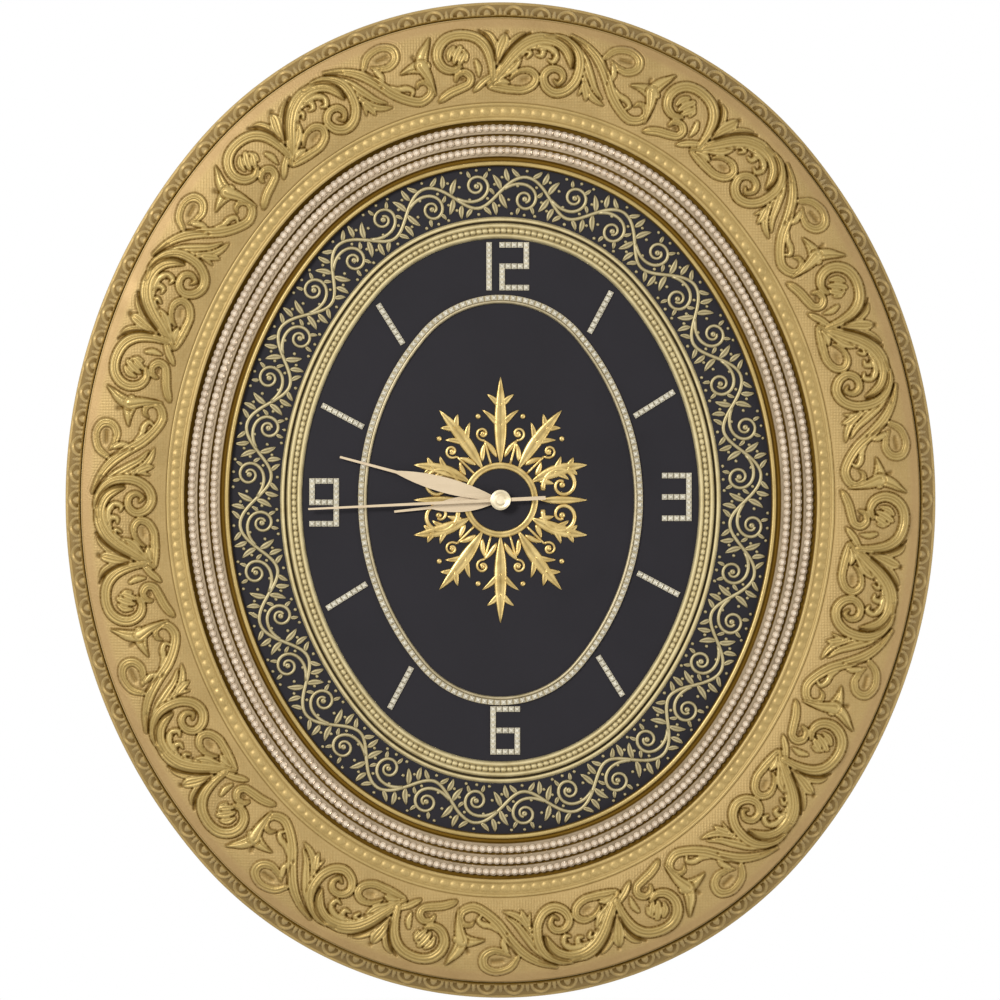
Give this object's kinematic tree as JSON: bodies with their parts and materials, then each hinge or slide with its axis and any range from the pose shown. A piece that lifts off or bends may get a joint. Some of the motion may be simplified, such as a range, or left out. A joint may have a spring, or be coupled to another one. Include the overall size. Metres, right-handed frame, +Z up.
{
  "type": "wall clock",
  "caption": "Oval wall clock with a gilt relief frame, stone-set rows and numerals on a black dial, sweeping hands and a battery movement, hung on a keyhole plate.",
  "frame": {"origin": "centre of the keyhole's entry at the back face of the hanger plate, on the wall plane", "axes": "+Z up, +Y into the wall, +X to the viewer's right; the dial faces -Y"},
  "size_m": [0.367, 0.035, 0.42],
  "materials": {
    "antique_gold": "antique gold paint on moulded rigid foam",
    "stones": "champagne cut stones in metal cups",
    "dial_black": "matt black sheet",
    "gilt": "polished gilt",
    "hand_cream": "champagne lacquer",
    "cap_gold": "pale gold",
    "board": "raw hardboard",
    "zinc_steel": "zinc plated",
    "case_black": "moulded plastic",
    "white_nylon": "moulded nylon",
    "rubber_black": "soft rubber",
    "nut_brass": "turned brass",
    "battery_can": "printed sleeve without lettering",
    "board_green": "solder mask",
    "copper_wire": "enamelled copper wire",
    "magnet": "sintered magnet"
  },
  "bodies": {
    "clock_body": {"frame": "antique_gold", "stone_row_outer": "stones", "stone_row_middle": "stones", "stone_row_inner": "stones", "dial_plate": "dial_black", "band_ornament": "gilt", "dial_trim": "gilt", "centre_ring": "stones", "centre_motif": "gilt", "numeral_12": "stones", "numeral_3": "stones", "numeral_6": "stones", "numeral_9": "stones", "hour_bars": "stones", "backing_board": "board", "retainer_clips": "zinc_steel", "clip_screws": "zinc_steel", "hanger_plate": "zinc_steel", "hanger_screws": "zinc_steel", "movement_front_case": "case_black", "movement_rear_case": "case_black", "train_bridge": "white_nylon", "rubber_washer": "rubber_black", "fixing_washer": "zinc_steel", "fixing_nut": "nut_brass", "battery_plus_contact": "zinc_steel", "battery_minus_contact": "zinc_steel", "circuit_board": "board_green", "quartz_can": "zinc_steel", "chip_blob": "case_black", "coil_bobbin": "white_nylon", "coil_winding": "copper_wire", "coil_core": "zinc_steel", "stator": "zinc_steel"},
    "hour_work": {"hour_hand": "hand_cream", "hour_wheel": "white_nylon"},
    "minute_work": {"minute_hand": "hand_cream", "cannon_pinion": "nut_brass"},
    "second_work": {"second_hand": "hand_cream", "second_hand_cap": "cap_gold", "second_wheel": "white_nylon"},
    "minute_wheel_body": {"minute_wheel": "white_nylon"},
    "knob_body": {"setting_knob": "case_black"},
    "step_wheel_body": {"step_wheel": "white_nylon"},
    "rotor_body": {"rotor": "magnet"},
    "third_wheel_body": {"third_wheel": "white_nylon"},
    "centre_wheel_body": {"centre_wheel": "white_nylon"},
    "battery_body": {"battery": "battery_can"}
  },
  "joints": [
    {"name": "minute_spin", "type": "hinge", "parent": "clock_body", "child": "minute_work", "pos_m": [0, 0, -0.182], "axis": [0, 1, 0], "continuous": true},
    {"name": "hour_spin", "type": "hinge", "parent": "clock_body", "child": "hour_work", "pos_m": [0, 0, -0.182], "axis": [0, 1, 0], "continuous": true},
    {"name": "minute_wheel_spin", "type": "hinge", "parent": "clock_body", "child": "minute_wheel_body", "pos_m": [0.00831, 0, -0.1772], "axis": [0, 1, 0], "continuous": true},
    {"name": "knob_spin", "type": "hinge", "parent": "clock_body", "child": "knob_body", "pos_m": [0.01733, 0, -0.18048], "axis": [0, 1, 0], "continuous": true},
    {"name": "second_spin", "type": "hinge", "parent": "clock_body", "child": "second_work", "pos_m": [0, 0, -0.182], "axis": [0, 1, 0], "continuous": true},
    {"name": "step_wheel_spin", "type": "hinge", "parent": "clock_body", "child": "step_wheel_body", "pos_m": [0.00125, 0, -0.17491], "axis": [0, 1, 0], "continuous": true},
    {"name": "rotor_spin", "type": "hinge", "parent": "clock_body", "child": "rotor_body", "pos_m": [0.00475, 0, -0.16885], "axis": [0, 1, 0], "continuous": true},
    {"name": "third_wheel_spin", "type": "hinge", "parent": "clock_body", "child": "third_wheel_body", "pos_m": [-0.00883, 0, -0.1769], "axis": [0, 1, 0], "continuous": true},
    {"name": "centre_wheel_spin", "type": "hinge", "parent": "clock_body", "child": "centre_wheel_body", "pos_m": [0, 0, -0.182], "axis": [0, 1, 0], "continuous": true},
    {"name": "battery_slide", "type": "slide", "parent": "clock_body", "child": "battery_body", "axis": [0, 1, 0], "range_m": [0, 0.02]}
  ],
  "couplings": [
    {"joint": "minute_wheel_spin", "follows": "minute_spin", "ratio": -0.33333},
    {"joint": "hour_spin", "follows": "minute_spin", "ratio": 0.083333},
    {"joint": "knob_spin", "follows": "minute_spin", "ratio": 1},
    {"joint": "step_wheel_spin", "follows": "second_spin", "ratio": -5},
    {"joint": "rotor_spin", "follows": "second_spin", "ratio": 30},
    {"joint": "third_wheel_spin", "follows": "second_spin", "ratio": -0.13333},
    {"joint": "centre_wheel_spin", "follows": "second_spin", "ratio": 0.016667}
  ]
}
